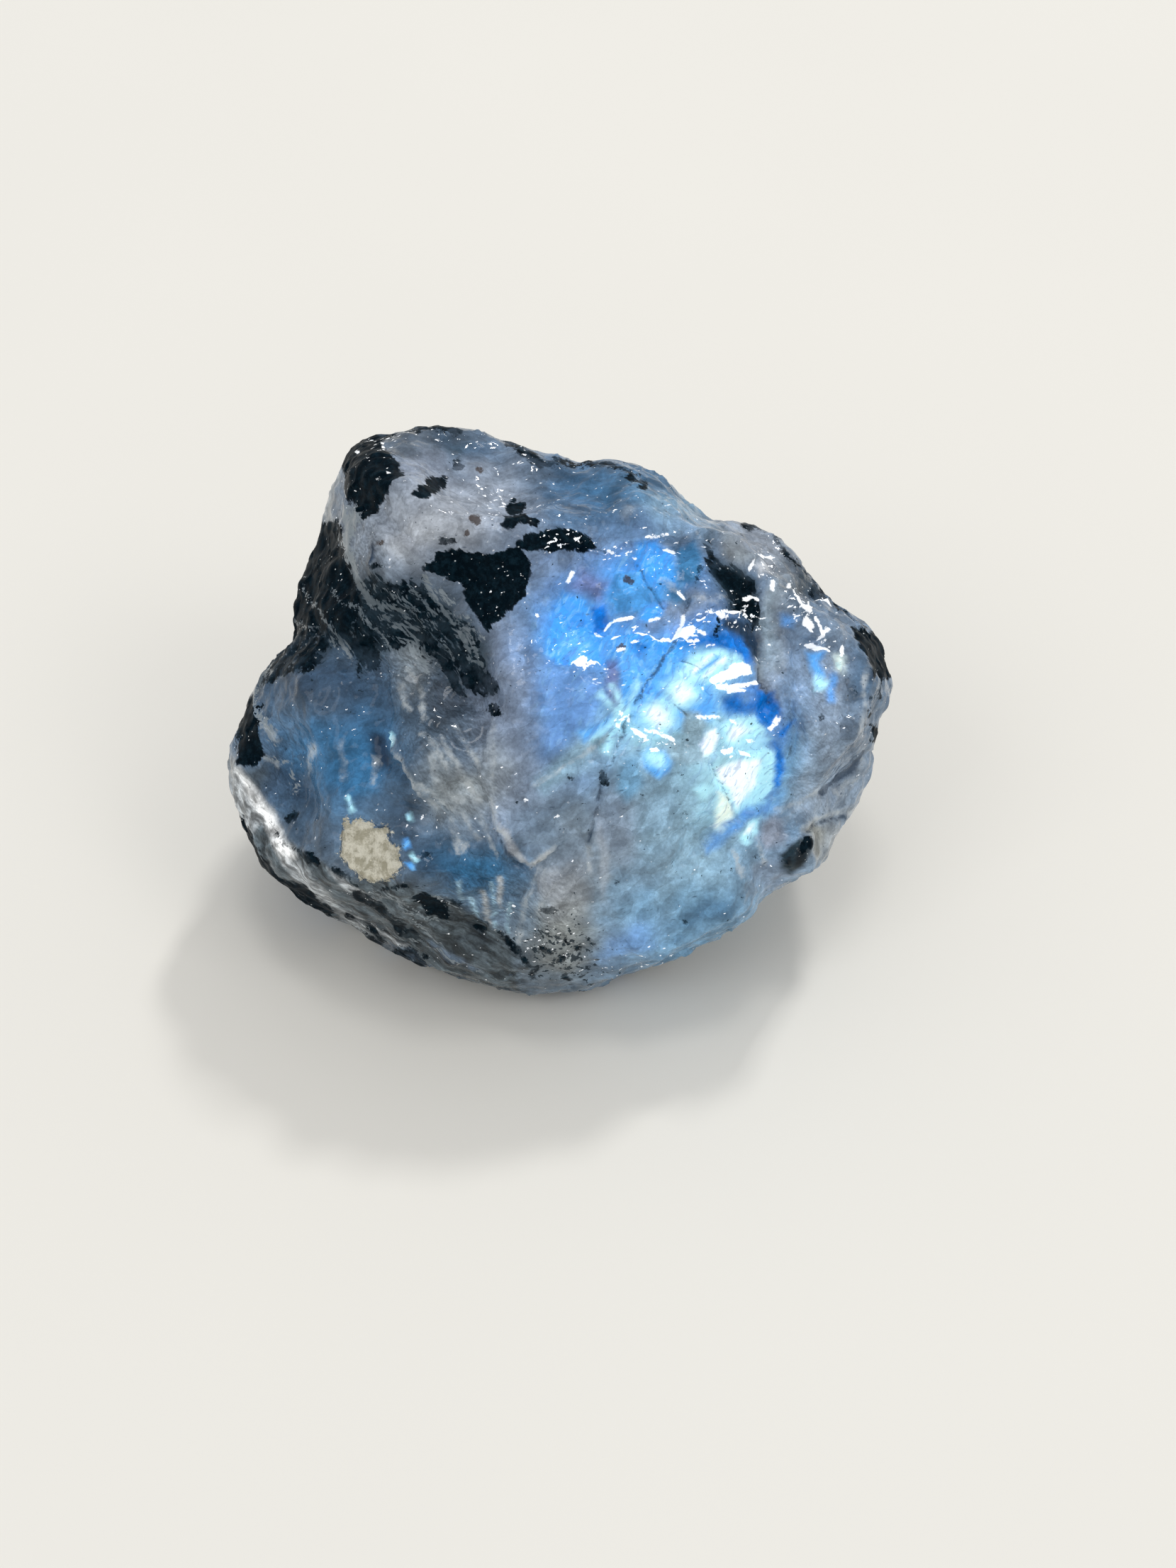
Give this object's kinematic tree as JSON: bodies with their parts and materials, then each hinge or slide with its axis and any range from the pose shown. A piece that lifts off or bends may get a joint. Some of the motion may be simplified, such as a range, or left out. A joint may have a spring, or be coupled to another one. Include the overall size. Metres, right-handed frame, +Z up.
{
  "type": "rough rainbow moonstone",
  "caption": "Rough broken piece of rainbow moonstone: translucent grey-blue feldspar with black tourmaline patches and a blue flash, lying on a flat broken face.",
  "frame": {"origin": "on the flat broken face that the stone rests on, under the middle of its outline", "axes": "+Z up from the rest face, +X along the stone's length to the right of the flash face, +Y away from the flash face"},
  "size_m": [0.0422, 0.0323, 0.0305],
  "materials": {
    "moonstone": "wet-looking glassy break faces, translucent, with rough black patches"
  },
  "bodies": {
    "root": {"moonstone": "moonstone"}
  },
  "joints": []
}
